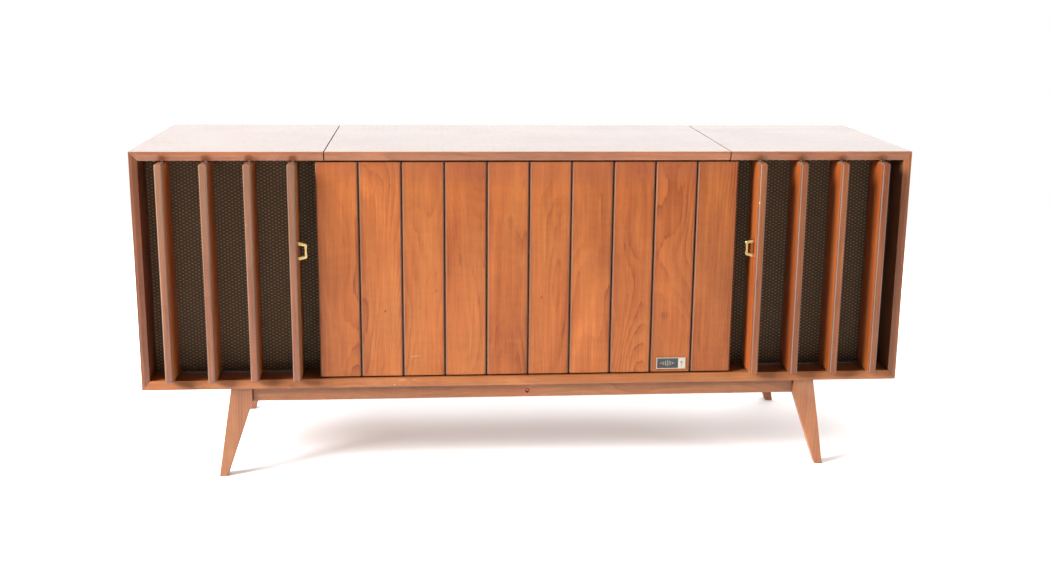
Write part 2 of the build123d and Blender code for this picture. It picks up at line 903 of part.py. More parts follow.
# ---------------------------------------------------------------- all nodes
parts = {
    "case_left_side": left_side_board(),
    "case_right_side": mirrored(left_side_board()),
    "case_bottom": bottom_board(),
    "top_left_panel": left_top_panel(),
    "top_right_panel": mirrored(left_top_panel()),
    "partitions": group([mirrored(right_partition()), right_partition()]),
    "rear_rail": rear_rail(),
    "back_panel": back_panel(),
    "back_panel_screws": back_panel_screws(),
    "front_backing_panel": backing_panel(),
    "front_slats": front_slat_row(),
    "badge": front_badge(),
    "front_apron": front_apron(),
    "hidden_aprons": hidden_aprons(),
    "front_left_leg": mirrored(front_right_leg()),
    "front_right_leg": front_right_leg(),
    "back_left_leg": mirrored(front_to_back(front_right_leg())),
    "back_right_leg": front_to_back(front_right_leg()),
    "pilot_jewel": pilot_jewel(),
    "louver_pivot_pins": pivot_pins(),
    "left_tie_strip": mirrored(right_tie_strip()),
    "right_tie_strip": right_tie_strip(),
    "left_pull": left_pull(),
    "right_pull": mirrored(left_pull()),
    "left_grille_cloth": mirrored(right_cloth()),
    "right_grille_cloth": right_cloth(),
    "speaker_baffles": group([mirrored(right_baffle()), right_baffle()]),
    "woofer_baskets": group([mirrored(right_woofer_basket()), right_woofer_basket()]),
    "woofer_cones": group([mirrored(right_woofer_cone()), right_woofer_cone()]),
    "tweeter_horns": group([mirrored(right_horn()), right_horn()]),
    "lid": lid_board(),
    "lid_hinge_leaf": lid_hinge_leaf(),
    "lid_quadrant_stay": lid_quadrant_stay(),
    "case_hinge_leaf": case_hinge_leaf(),
    "deck_board": deck_board(),
    "changer_base": changer_base(),
    "platter": platter(),
    "spindle": spindle(),
    "tonearm_turret": tonearm_turret(),
    "tonearm": tonearm(),
    "record_overarm": record_overarm(),
    "changer_knob": round_knob(changer_knob_x, changer_knob_y, 13.0, base_top + knob_gap, 577.0, lower_shaft_z),
    "control_panel": control_panel(),
    "dial_pointer": dial_pointer(),
    "volume_knob": round_knob(*volume_place, 17.0, panel_top + knob_gap, 574.0, shaft_bottom),
    "tone_knob": round_knob(*tone_place, 17.0, panel_top + knob_gap, 574.0, shaft_bottom),
    "tuning_knob": round_knob(*tuning_place, 22.0, panel_top + knob_gap, 576.0, shaft_bottom),
    "receiver_chassis": receiver_chassis(),
    "terminal_panel": terminal_panel(),
}
for number, x in enumerate(reversed(louver_centres), start=1):
    parts[f"left_louver_{number}"] = louver(-x)
for number, x in enumerate(louver_centres, start=1):
    parts[f"right_louver_{number}"] = louver(x)
for name, x in button_places.items():
    parts[name] = push_button(x)

for name, shape in parts.items():
    export_step(shape, f"parts/{name}.step")

print(len(parts), "nodes")
print("front plane", front_y, "back plane", back_y, "hinge", hinge_y, hinge_z)
print("louver pivot y", louver_pivot_y, "louver centres", louver_centres)
print("tie pin y", louver_pivot_y + crank_radius)
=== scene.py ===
import math

import bmesh
import bpy
from mathutils import Matrix, Vector, noise


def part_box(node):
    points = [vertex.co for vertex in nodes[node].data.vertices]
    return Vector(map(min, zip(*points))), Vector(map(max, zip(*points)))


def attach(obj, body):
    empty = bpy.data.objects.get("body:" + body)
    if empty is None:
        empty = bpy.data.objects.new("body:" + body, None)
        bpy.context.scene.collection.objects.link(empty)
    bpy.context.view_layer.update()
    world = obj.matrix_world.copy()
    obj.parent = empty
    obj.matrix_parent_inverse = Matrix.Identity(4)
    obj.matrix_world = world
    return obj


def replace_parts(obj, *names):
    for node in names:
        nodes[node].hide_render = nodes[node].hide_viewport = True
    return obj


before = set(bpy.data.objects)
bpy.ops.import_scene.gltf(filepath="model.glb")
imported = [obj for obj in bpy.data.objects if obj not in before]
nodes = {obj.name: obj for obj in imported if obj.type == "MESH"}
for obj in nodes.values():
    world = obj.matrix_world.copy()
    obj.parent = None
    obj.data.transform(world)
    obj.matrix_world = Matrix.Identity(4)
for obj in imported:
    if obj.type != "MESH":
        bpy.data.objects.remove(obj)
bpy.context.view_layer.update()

# ---------------------------------------------------------------- places taken from the frame
slat_low, slat_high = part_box("front_slats")
slat_count = 10
slat_gap = 0.0022
slat_pitch = (slat_high.x - slat_low.x + slat_gap) / slat_count
floor_level = 0.0
louvers = [f"{side}_louver_{number}" for side in ("left", "right") for number in (1, 2, 3, 4)]

# ---------------------------------------------------------------- studio values, in metres and watts
front_sky = 0.3
back_sky = 3.3
front_ground = 0.3
back_ground = 1.5
floor_half = 3.4
light_target = (0.0, -0.2, 0.42)
camera_place = (-0.18271, -2.56002, 0.99986)
camera_lens = 42.183
camera_shift = (-0.01147, -0.0405)
camera_pan = -0.0837
camera_tilt = -0.2151
camera_roll = -0.0114


# ---------------------------------------------------------------- node graphs
class Graph:
    """Builds the node graph of one material, around its Principled shader."""

    def __init__(self, name):
        self.material = bpy.data.materials.new(name)
        self.material.use_nodes = True
        self.tree = self.material.node_tree
        self.shader = self.tree.nodes["Principled BSDF"]
        self.coordinates = self.add("ShaderNodeTexCoord")

    def add(self, kind, **settings):
        node = self.tree.nodes.new(kind)
        for key, value in settings.items():
            setattr(node, key, value)
        return node

    def feed(self, socket, value):
        if isinstance(value, bpy.types.NodeSocket):
            self.tree.links.new(value, socket)
        elif socket.type == "RGBA" and not isinstance(value, (int, float)):
            socket.default_value = (*value[:3], 1.0)
        elif socket.type == "RGBA":
            socket.default_value = (value, value, value, 1.0)
        else:
            socket.default_value = value

    def place(self):
        """The point's place in the frame at rest, in metres."""
        return self.coordinates.outputs["Object"]

    def facing(self):
        """The face's direction in the frame at rest."""
        return self.coordinates.outputs["Normal"]

    def split(self, vector):
        node = self.add("ShaderNodeSeparateXYZ")
        self.feed(node.inputs[0], vector)
        return node.outputs[0], node.outputs[1], node.outputs[2]

    def join(self, x, y, z):
        node = self.add("ShaderNodeCombineXYZ")
        for socket, value in zip(node.inputs, (x, y, z)):
            self.feed(socket, value)
        return node.outputs[0]

    def math(self, operation, *values, clamp=False):
        node = self.add("ShaderNodeMath", operation=operation, use_clamp=clamp)
        for socket, value in zip(node.inputs, values):
            self.feed(socket, value)
        return node.outputs[0]

    def vector(self, operation, *values):
        node = self.add("ShaderNodeVectorMath", operation=operation)
        for socket, value in zip(node.inputs, values):
            self.feed(socket, value)
        return node.outputs[0]

    def noise(self, vector, scale=1.0, detail=3.0, roughness=0.5, distortion=0.0, output="Fac"):
        node = self.add("ShaderNodeTexNoise")
        self.feed(node.inputs["Vector"], vector)
        node.inputs["Scale"].default_value = scale
        node.inputs["Detail"].default_value = detail
        node.inputs["Roughness"].default_value = roughness
        node.inputs["Distortion"].default_value = distortion
        return node.outputs[output]

    def random(self, value):
        """Three random numbers for each value."""
        node = self.add("ShaderNodeTexWhiteNoise", noise_dimensions="1D")
        self.feed(node.inputs["W"], value)
        return node.outputs["Color"]

    def spread(self, value, low, high, to_low=0.0, to_high=1.0, smooth=False):
        """Value's range from low to high, brought to another range and held at its ends."""
        node = self.add("ShaderNodeMapRange", interpolation_type="SMOOTHSTEP" if smooth else "LINEAR")
        for socket, number in zip(node.inputs[:5], (value, low, high, to_low, to_high)):
            self.feed(socket, number)
        return node.outputs[0]

    def mix(self, factor, a, b, blend="MIX"):
        node = self.add("ShaderNodeMix", data_type="RGBA", blend_type=blend)
        self.feed(node.inputs[0], factor)
        self.feed(node.inputs[6], a)
        self.feed(node.inputs[7], b)
        return node.outputs[2]

    def bump(self, height, distance, strength=1.0):
        """Relief from a height of 0 to 1, which is that distance in metres."""
        node = self.add("ShaderNodeBump")
        node.inputs["Strength"].default_value = strength
        node.inputs["Distance"].default_value = distance
        self.feed(node.inputs["Height"], height)
        self.feed(self.shader.inputs["Normal"], node.outputs[0])

    def finish(self, colour=None, roughness=None, **fixed):
        if colour is not None:
            self.feed(self.shader.inputs["Base Color"], colour)
        if roughness is not None:
            self.feed(self.shader.inputs["Roughness"], roughness)
        for key, value in fixed.items():
            self.feed(self.shader.inputs[key.replace("_", " ")], value)
        return self.material


# ---------------------------------------------------------------- wood
def grain_place(graph, grain, seed, boards, tones):
    """The place with its third axis along the grain, moved to a part of the log of its own."""
    x, y, z = graph.split(graph.place())
    across, depth, along = {"x": (z, y, x), "y": (x, z, y), "z": (x, y, z)}[grain]
    shift = graph.join(3.1 * seed + 0.37, 1.7 * seed + 0.61, 2.3 * seed + 0.19)
    if boards is None:
        return across, depth, along, shift, graph.split(graph.random(float(seed)))
    first, pitch = boards
    number = graph.math("FLOOR", graph.math("DIVIDE", graph.math("SUBTRACT", x, first), pitch))
    own = graph.random(graph.math("ADD", number, seed))
    shift = graph.vector("ADD", shift, graph.vector("MULTIPLY", own, (9.0, 9.0, 9.0)))
    middle = graph.math("MULTIPLY_ADD", graph.math("ADD", number, 0.5), pitch, first)
    across = graph.math("SUBTRACT", across, middle)
    tone = graph.split(graph.random(graph.math("ADD", number, tones)))
    own = graph.split(own)
    return across, depth, along, shift, (own[0], own[1], tone[2])


def scaled(colour, red, green, blue):
    return (colour[0] * red, colour[1] * green, colour[2] * blue)


def log_rings(g, place, across, depth, own, centre, sideways):
    """Two measures of a log's rings, cut a few centimetres from its heart: late wood and thin dark lines."""
    sway = g.noise(g.vector("MULTIPLY", place, (6.0, 6.0, 2.2)), 1.0, 2.0, output="Color")
    sway = g.split(g.vector("SUBTRACT", sway, (0.5, 0.5, 0.5)))
    heart_across = g.math("MULTIPLY_ADD", g.math("SUBTRACT", own[0], 0.5), 0.09, centre[0])
    heart_depth = g.math("MULTIPLY_ADD", own[1], 0.06, 0.03)
    du = g.math("ADD", g.math("SUBTRACT", across, heart_across), g.math("MULTIPLY", sway[0], 0.10))
    dv = g.math("ADD", heart_depth, g.math("MULTIPLY", sway[1], 0.11))
    if sideways:
        dv = g.math("ADD", dv, g.math("SUBTRACT", depth, centre[1]))
    radius = g.math("SQRT", g.math("ADD", g.math("MULTIPLY", du, du), g.math("MULTIPLY", dv, dv)))
    fray = g.noise(g.vector("MULTIPLY", place, (150.0, 150.0, 8.0)), 1.0, 2.0)
    ring = g.math("ADD", g.math("MULTIPLY", radius, 150.0), g.math("MULTIPLY", fray, 0.55))
    ring = g.math("FRACT", ring)
    late = g.math("MULTIPLY", g.spread(ring, 0.2, 0.92, smooth=True), g.spread(ring, 1.0, 0.94))
    line = g.math("MULTIPLY", g.spread(ring, 0.80, 0.93, smooth=True), g.spread(ring, 1.0, 0.96))
    vary = g.noise(g.vector("MULTIPLY", place, (17.0, 17.0, 2.4)), 1.0, 2.0)
    late = g.math("MULTIPLY", late, g.spread(vary, 0.35, 0.62))
    line = g.math("MULTIPLY", line, g.spread(vary, 0.5, 0.66))
    return late, line


def wood(name, grain, light, dark, seed=1.0, boards=None, tones=0.0, rings=0.5, streaks=0.5, blotches=0.5,
         centre=(0.0, 0.0), gloss=0.36, wear=0.0, wear_colour=(0.62, 0.42, 0.32), lacquer=0.35,
         faces=None, level=None, edge_darkening=0.0, arris=None, glue_line=None, marks=()):
    """Oiled and lacquered walnut: rings, fibres, pores, ripples, broad tone and worn spots.

    faces is the (light, dark) pair of the faces turned sideways: on the louvers their wide veneered faces,
    whose edges are another wood; on the side boards and top panels a darker pair that is painted shade.
    level is the colour factor of the upward faces: painted shade that keeps the strongly lit top darker and
    less red.
    arris is the colour of upright chamfers: partly pale worn wood, partly a painted highlight. glue_line is
    the (half depth, width) of the dark line where the veneer meets the solid edge. marks are (x, z, half
    width, half height, slope, colour, strength) of knots, chips, stains and paler stretches on the front, and
    of painted shadows and painted light.
    """
    g = Graph(name)
    across, depth, along, shift, own = grain_place(g, grain, seed, boards, tones)
    place = g.vector("ADD", g.join(across, depth, along), shift)
    late, line = log_rings(g, place, across, depth, own, centre, grain in "xy")

    fibre = g.noise(g.vector("MULTIPLY", place, (620.0, 620.0, 10.0)), 1.0, 3.0, 0.65)
    band = g.noise(g.vector("MULTIPLY", place, (110.0, 110.0, 2.6)), 1.0, 3.0, 0.55)
    pore = g.spread(g.noise(g.vector("MULTIPLY", place, (1500.0, 1500.0, 70.0)), 1.0, 1.0), 0.64, 0.72)
    flare = g.noise(g.vector("MULTIPLY", place, (24.0, 24.0, 6.0)), 1.0, 3.0, 0.6, 0.6)
    tone = g.noise(g.vector("MULTIPLY", place, (8.0, 8.0, 3.2)), 1.0, 2.0)
    ripple = g.noise(g.vector("MULTIPLY", place, (22.0, 22.0, 85.0)), 1.0, 2.0, 0.5, 0.4)
    fleck = g.noise(g.vector("MULTIPLY", place, (62.0, 62.0, 11.0)), 1.0, 2.0, 0.5, 1.4)
    fleck = g.spread(fleck, 0.66, 0.80, smooth=True)

    parts = [g.math("MULTIPLY", late, 0.5 * rings), g.math("MULTIPLY", line, 0.65 * rings)]
    parts.append(g.spread(fibre, 0.3, 0.7, -0.36 * streaks, 0.36 * streaks))
    parts.append(g.spread(band, 0.3, 0.7, -0.26 * streaks, 0.26 * streaks))
    parts.append(g.spread(tone, 0.3, 0.7, -0.4 * blotches, 0.4 * blotches))
    parts.append(g.spread(flare, 0.3, 0.7, -0.28 * blotches, 0.28 * blotches))
    parts.append(g.spread(ripple, 0.3, 0.7, -0.09 * blotches, 0.09 * blotches))
    parts.append(g.math("MULTIPLY", fleck, 0.7 * streaks))
    parts.append(g.math("MULTIPLY", pore, 0.3))
    parts.append(g.spread(own[2], 0.0, 1.0, -0.22, 0.26))
    # Each board darkens towards its long edges, beside the grooves between boards.
    if edge_darkening:
        beside = g.math("ABSOLUTE", across)
        parts.append(g.spread(beside, boards[1] * 0.36, boards[1] * 0.5, 0.0, edge_darkening, smooth=True))
    darkness = 0.28
    for part in parts:
        darkness = g.math("ADD", part, darkness)
    darkness = g.math("MAXIMUM", darkness, -0.25)
    sideways = g.math("ABSOLUTE", g.split(g.facing())[0])
    flat = g.spread(sideways, 0.9, 0.97)
    # Sideways faces take the faces pair: veneer on the louvers, painted shade on the side boards and at the
    # top's seams.
    if faces:
        light = g.mix(flat, light, faces[0])
        dark = g.mix(flat, dark, faces[1])
    ink = g.mix(g.spread(darkness, 0.0, 1.0), light, dark)
    glow = g.mix(g.spread(darkness, -0.25, 0.0, 1.0, 0.0), ink, (1.25, 1.3, 1.4), "MULTIPLY")
    colour = g.mix(g.spread(darkness, 1.0, 1.7), glow, g.mix(1.0, dark, (0.55, 0.45, 0.45), "MULTIPLY"))
    redness = g.noise(g.vector("MULTIPLY", place, (11.0, 11.0, 4.0)), 1.0, 2.0)
    redness = g.spread(redness, 0.35, 0.7)
    colour = g.mix(1.0, colour, g.mix(redness, (1.0, 1.06, 1.08), (1.0, 0.92, 0.88)), "MULTIPLY")
    if wear:
        rub = g.noise(g.vector("MULTIPLY", place, (22.0, 22.0, 8.0)), 1.0, 4.0, 0.6)
        colour = g.mix(g.spread(rub, 0.56, 0.74, 0.0, wear, smooth=True), colour, wear_colour)
    # Half-sideways chamfers take the arris colour: partly pale worn wood, partly a painted highlight.
    if arris:
        rubbed_and_lit = g.math("MULTIPLY", g.spread(sideways, 0.5, 0.66), g.spread(sideways, 0.9, 0.76))
        colour = g.mix(rubbed_and_lit, colour, g.mix(g.spread(band, 0.3, 0.7), arris, scaled(arris, 0.7, 0.62, 0.6)))
    if glue_line:
        beyond = g.math("ABSOLUTE", g.math("SUBTRACT", depth, centre[1]))
        near = g.spread(beyond, glue_line[0] - glue_line[1], glue_line[0] - 0.8 * glue_line[1])
        rim = g.math("MULTIPLY", near, g.spread(beyond, glue_line[0], glue_line[0] - 0.2 * glue_line[1]))
        colour = g.mix(g.math("MULTIPLY", rim, 0.8), colour, (0.02, 0.008, 0.004))
    if marks:
        x, _, z = g.split(g.place())
        front = g.spread(g.split(g.facing())[1], -0.4, -0.6)
        ragged = g.noise(g.place(), 420.0, 3.0)
    for mark_x, mark_z, half_width, half_height, slope, ink, strength in marks:
        over = g.math("SUBTRACT", x, mark_x)
        rise = g.math("SUBTRACT", z, g.math("MULTIPLY_ADD", over, slope, mark_z))
        over = g.math("POWER", g.math("ABSOLUTE", g.math("DIVIDE", over, half_width)), 2.0)
        rise = g.math("POWER", g.math("ABSOLUTE", g.math("DIVIDE", rise, half_height)), 2.0)
        reach = g.math("ADD", g.math("ADD", over, rise), g.spread(ragged, 0.3, 0.7, -0.45, 0.45))
        spot = g.math("MULTIPLY", g.spread(reach, 1.0, 0.15, smooth=True), front)
        colour = g.mix(g.math("MULTIPLY", spot, strength), colour, ink)
    # Upward faces are darkened by the level factor: painted shade on the top.
    if level:
        upward = g.spread(g.split(g.facing())[2], 0.9, 0.98)
        colour = g.mix(upward, colour, g.mix(1.0, colour, level, "MULTIPLY"))
    smear = g.noise(g.vector("MULTIPLY", place, (9.0, 9.0, 9.0)), 1.0, 3.0)
    roughness = g.spread(smear, 0.3, 0.7, gloss - 0.01, gloss + 0.01)
    roughness = g.math("ADD", roughness, g.math("MULTIPLY", pore, 0.15))
    height = g.math("SUBTRACT", g.math("MULTIPLY", fibre, 0.35), g.math("MULTIPLY", pore, 0.7))
    g.bump(height, 0.00012)
    return g.finish(colour, roughness, Specular_IOR_Level=lacquer)


slat_light = (0.288, 0.0855, 0.0210)
slat_dark = (0.148, 0.0335, 0.0080)
edge_light = (0.205, 0.080, 0.034)
edge_dark = (0.090, 0.028, 0.0125)


def edge_pair(red, green, blue):
    return scaled(edge_light, red, green, blue), scaled(edge_dark, red, green, blue)


# ---------------------------------------------------------------- cloth, metals and plastics
dash_pitch = 0.0128
dash_row = 0.00352
dash_length = 0.0044
dash_height = 0.0021
thread_pitch = 0.0009


def grille_weave():
    """Dark brown woven cloth with short golden dashes in staggered rows."""
    g = Graph("grille_weave")
    x, _, z = g.split(g.place())
    slack = g.noise(g.vector("MULTIPLY", g.place(), (9.0, 9.0, 9.0)), 1.0, 2.0)
    z = g.math("ADD", z, g.math("MULTIPLY", g.math("SUBTRACT", slack, 0.5), 0.004))
    line = g.math("DIVIDE", z, dash_row)
    row = g.math("FLOOR", line)
    odd = g.math("FLOORED_MODULO", row, 2.0)
    column = g.math("ADD", g.math("DIVIDE", x, dash_pitch), g.math("MULTIPLY", odd, 0.5))
    beside = g.math("ABSOLUTE", g.math("SUBTRACT", g.math("FRACT", column), 0.5))
    above = g.math("ABSOLUTE", g.math("SUBTRACT", g.math("FRACT", line), 0.5))
    beside = g.math("DIVIDE", beside, 0.5 * dash_length / dash_pitch)
    above = g.math("DIVIDE", above, 0.5 * dash_height / dash_row)
    reach = g.math("ADD", g.math("POWER", beside, 3.0), g.math("POWER", above, 2.0))
    dash = g.spread(reach, 1.25, 0.55, smooth=True)
    own = g.random(g.math("ADD", g.math("MULTIPLY", row, 57.0), g.math("FLOOR", column)))
    own = g.split(own)[0]
    # threads over and under each other
    warp = g.math("SINE", g.math("MULTIPLY", x, 2.0 * math.pi / thread_pitch))
    weft = g.math("SINE", g.math("MULTIPLY", z, 2.0 * math.pi / thread_pitch))
    thread = g.math("MULTIPLY_ADD", g.math("MULTIPLY", warp, weft), 0.5, 0.5)
    fuzz = g.noise(g.vector("MULTIPLY", g.place(), (900.0, 900.0, 900.0)), 1.0, 2.0)
    ground = g.mix(thread, (0.040, 0.025, 0.014), (0.102, 0.065, 0.036))
    ground = g.mix(g.spread(fuzz, 0.4, 0.75, 0.0, 0.35), ground, (0.135, 0.086, 0.048))
    gold = g.mix(own, (0.26, 0.17, 0.076), (0.38, 0.26, 0.117))
    gold = g.mix(g.spread(fuzz, 0.35, 0.7, 0.5, 0.0), gold, (0.19, 0.11, 0.05))
    colour = g.mix(dash, ground, gold)
    height = g.math("ADD", g.math("MULTIPLY", dash, 0.8), g.math("MULTIPLY", thread, 0.35))
    g.bump(height, 0.0005)
    return g.finish(colour, g.spread(dash, 0.0, 1.0, 0.92, 0.7), Sheen_Weight=0.1, Sheen_Roughness=0.5)


def metal(name, colour, roughness, scratch=(500.0, 500.0, 20.0), tarnish=0.25, tint=(0.5, 0.42, 0.3),
          metallic=1.0):
    """Brushed or lacquered metal with fine scratches and dull patches."""
    g = Graph(name)
    fine = g.noise(g.vector("MULTIPLY", g.place(), scratch), 1.0, 3.0, 0.6)
    patch = g.noise(g.place(), 60.0, 3.0)
    shade = g.mix(g.spread(patch, 0.45, 0.8, 0.0, tarnish), colour, [a * b for a, b in zip(colour, tint)])
    dull = g.spread(patch, 0.3, 0.8, roughness, roughness + 0.12)
    rough = g.math("ADD", g.spread(fine, 0.3, 0.7, -0.07, 0.07), dull)
    g.bump(fine, 0.00004)
    return g.finish(shade, rough, Metallic=metallic)


def moulded(name, colour, roughness=0.35, second=None, grain=0.00003, scale=900.0):
    """Moulded plastic, rubber or enamel with faint orange peel, dust and handling marks."""
    g = Graph(name)
    peel = g.noise(g.place(), scale, 2.0)
    dust = g.noise(g.place(), 45.0, 4.0, 0.6)
    second = second or [min(1.0, 0.75 * part + 0.03) for part in colour]
    shade = g.mix(g.spread(dust, 0.42, 0.75, 0.0, 0.6), colour, second)
    g.bump(peel, grain)
    return g.finish(shade, g.spread(dust, 0.3, 0.75, roughness - 0.05, roughness + 0.14))


def pressed_board(name, light, dark, scale=260.0, roughness=0.75):
    """Hardboard, card or felt: short matted fibres."""
    g = Graph(name)
    mat = g.noise(g.place(), scale, 4.0, 0.65)
    stain_and_shadow = g.noise(g.place(), 7.0, 3.0)
    shade = g.mix(g.spread(mat, 0.3, 0.7), dark, light)
    shade = g.mix(g.spread(stain_and_shadow, 0.45, 0.8, 0.0, 0.35), shade, dark)
    g.bump(mat, 0.0003)
    return g.finish(shade, roughness)


def red_glass():
    """Clear red lens that glows a little in its hole."""
    g = Graph("red_glass")
    ripple = g.noise(g.place(), 500.0, 2.0)
    shade = g.mix(ripple, (0.55, 0.01, 0.012), (0.85, 0.05, 0.04))
    g.bump(ripple, 0.0001)
    return g.finish(shade, 0.12, Transmission_Weight=0.35, IOR=1.5, Coat_Weight=0.6, Coat_Roughness=0.05)


def clear_plastic():
    """Clear window, a little hazy with age."""
    g = Graph("clear_plastic")
    haze = g.noise(g.place(), 90.0, 3.0)
    roughness = g.spread(haze, 0.4, 0.8, 0.03, 0.12)
    return g.finish((0.95, 0.96, 0.94), roughness, Transmission_Weight=1.0, IOR=1.49)


pale_chip = (0.62, 0.50, 0.38)
dark_knot = (0.055, 0.013, 0.005)
stain_and_shadow = (0.075, 0.020, 0.007)
slat_top_shade = (0.15, 0.042, 0.026)
rail_painted_light = (0.34, 0.14, 0.062)
amber = (0.34, 0.095, 0.02)
grey_wood = (0.152, 0.079, 0.046)
rubbed_legs = (0.34, 0.22, 0.16)
louver_arris = (0.155, 0.096, 0.068)


def height_on_slats(part):
    return slat_low.z + part * (slat_high.z - slat_low.z)


def across_slats(part):
    return slat_low.x + part * (slat_high.x - slat_low.x)


slat_marks = [(across_slats(0.157), height_on_slats(0.31), 0.0024, 0.0034, 0.0, dark_knot, 0.75)]
slat_marks.append((across_slats(0.279), height_on_slats(0.405), 0.0022, 0.0040, 0.0, dark_knot, 0.6))
slat_marks.append((across_slats(0.531), height_on_slats(0.368), 0.0026, 0.0034, 0.0, dark_knot, 0.55))
slat_marks.append((across_slats(0.455), height_on_slats(0.72), 0.006, 0.020, 0.0, dark_knot, 0.3))
slat_marks.append((across_slats(0.336), height_on_slats(0.55), 0.0035, 0.016, 0.0, dark_knot, 0.3))
slat_marks.append((across_slats(0.832), height_on_slats(0.275), 0.011, 0.010, 0.0, dark_knot, 0.3))
slat_marks.append((across_slats(0.227), height_on_slats(0.093), 0.012, 0.0006, 0.12, pale_chip, 0.3))
# A broad darker band along the top of all the slats: painted shade below the top's front edge.
slat_marks.append((0.0, slat_high.z, 0.6, 0.055, 0.0, slat_top_shade, 0.3))
floor_low, floor_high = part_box("case_bottom")
rail_z = (floor_low.z + floor_high.z) / 2
rail_marks = [(-0.252, rail_z + 0.0045, 0.007, 0.0009, 0.0, pale_chip, 0.35)]
rail_marks.append((-0.228, rail_z + 0.0040, 0.003, 0.0009, 0.0, pale_chip, 0.35))
rail_marks.append((-0.268, rail_z - 0.0050, 0.002, 0.0014, 0.0, pale_chip, 0.4))
# Two paler stretches on the left of the bottom rail: painted light that lifts it out of the louvers' shadows.
rail_marks.append((-0.58, rail_z, 0.085, 0.012, 0.0, rail_painted_light, 0.3))
rail_marks.append((-0.30, rail_z, 0.11, 0.010, 0.0, rail_painted_light, 0.2))
apron_low, apron_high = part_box("front_apron")
apron_z = (apron_low.z + apron_high.z) / 2
joint_shadow = (0.015, 0.006, 0.003)
apron_marks = [(apron_low.x + 0.0008, apron_z, 0.0017, 0.03, 0.0, joint_shadow, 0.9)]
apron_marks.append((apron_high.x - 0.0004, apron_z, 0.0010, 0.03, 0.0, joint_shadow, 0.7))
lip_low, lip_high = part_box("top_left_panel")
lip_z = (lip_low.z + lip_high.z) / 2
lip_marks = [(-0.60, lip_z, 0.16, 0.014, 0.0, amber, 0.25)]
lip_marks.append((0.17, lip_z, 0.045, 0.014, 0.0, stain_and_shadow, 0.15))
lip_marks.append((0.49, lip_z, 0.12, 0.016, 0.0, stain_and_shadow, 0.3))
# Above each louver the lip gets a dark spot: painted shadow under the louver's proud top.
for name in louvers:
    low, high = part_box(name)
    lip_marks.append(((low.x + high.x) / 2 + 0.002, lip_low.z + 0.0035, 0.0115, 0.0095, 0.0, stain_and_shadow, 0.6))

